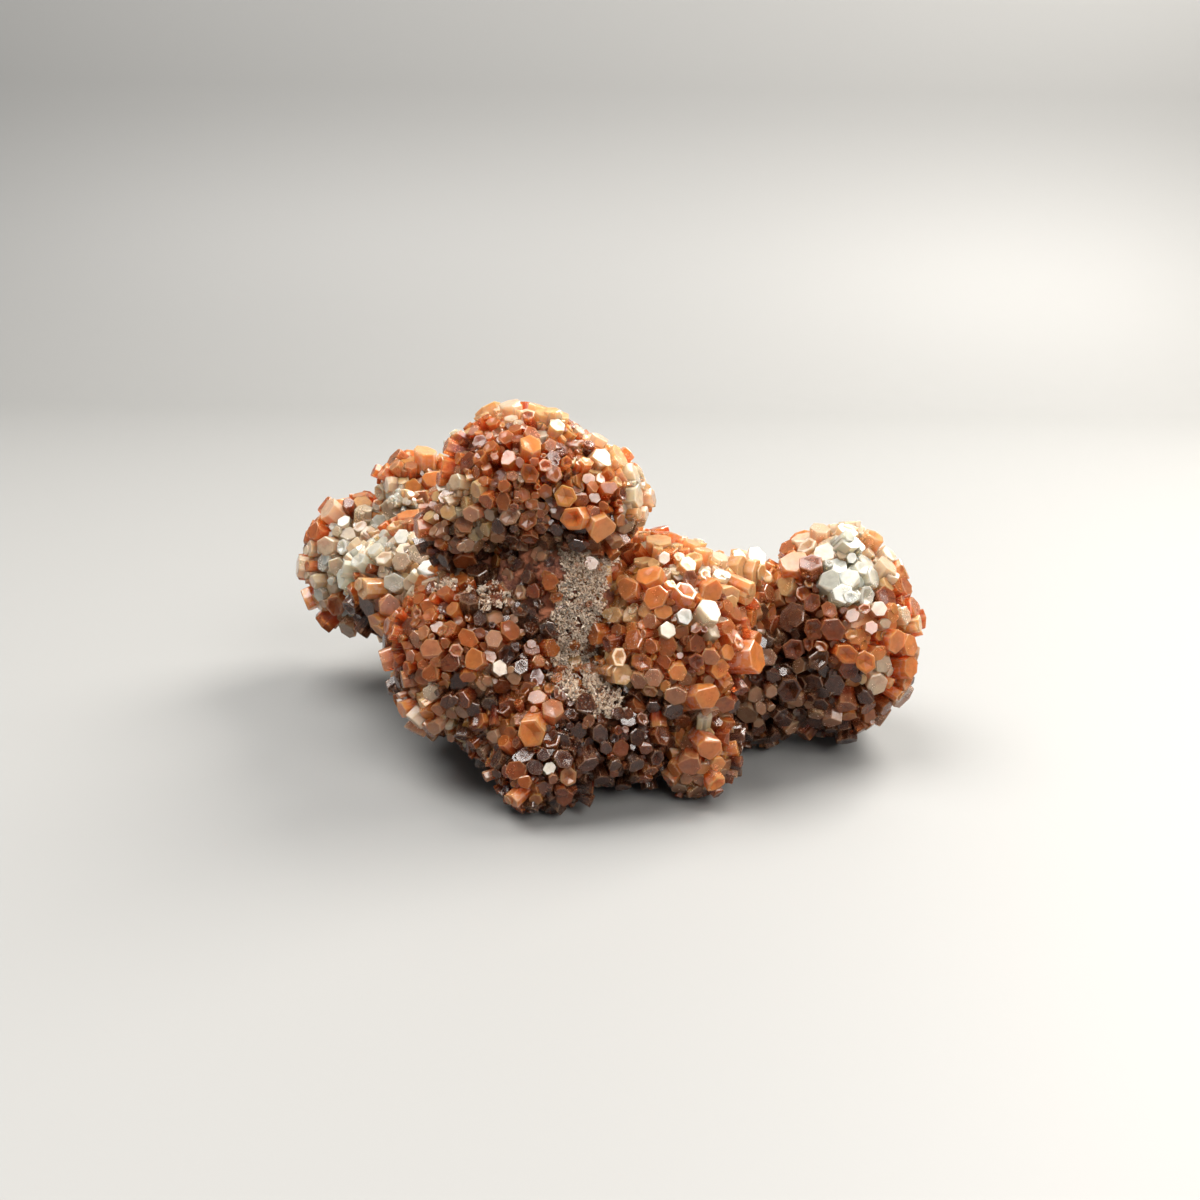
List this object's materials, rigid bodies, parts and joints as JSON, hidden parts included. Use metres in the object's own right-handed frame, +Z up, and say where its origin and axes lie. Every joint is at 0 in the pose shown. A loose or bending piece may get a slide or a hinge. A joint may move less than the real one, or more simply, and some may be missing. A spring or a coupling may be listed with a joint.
{
  "type": "aragonite crystal cluster",
  "caption": "Cluster of radiating six-sided aragonite crystals in rounded lobes, with rough matrix stone bare in the hollow under its crown.",
  "frame": {"origin": "on the surface that the cluster rests on, under the middle of its bounding box", "axes": "+X along the longest side, to the right of someone who looks at the side with the hollow; +Y away from them; +Z up"},
  "size_m": [0.1365, 0.0919, 0.0725],
  "materials": {
    "aragonite": "glossy translucent crystal, orange-brown with honey and pale green patches",
    "matrix_stone": "rough dark red-brown stone dusted with tiny grey crystals"
  },
  "bodies": {
    "root": {"crystals": "aragonite", "matrix": "matrix_stone"}
  },
  "joints": []
}
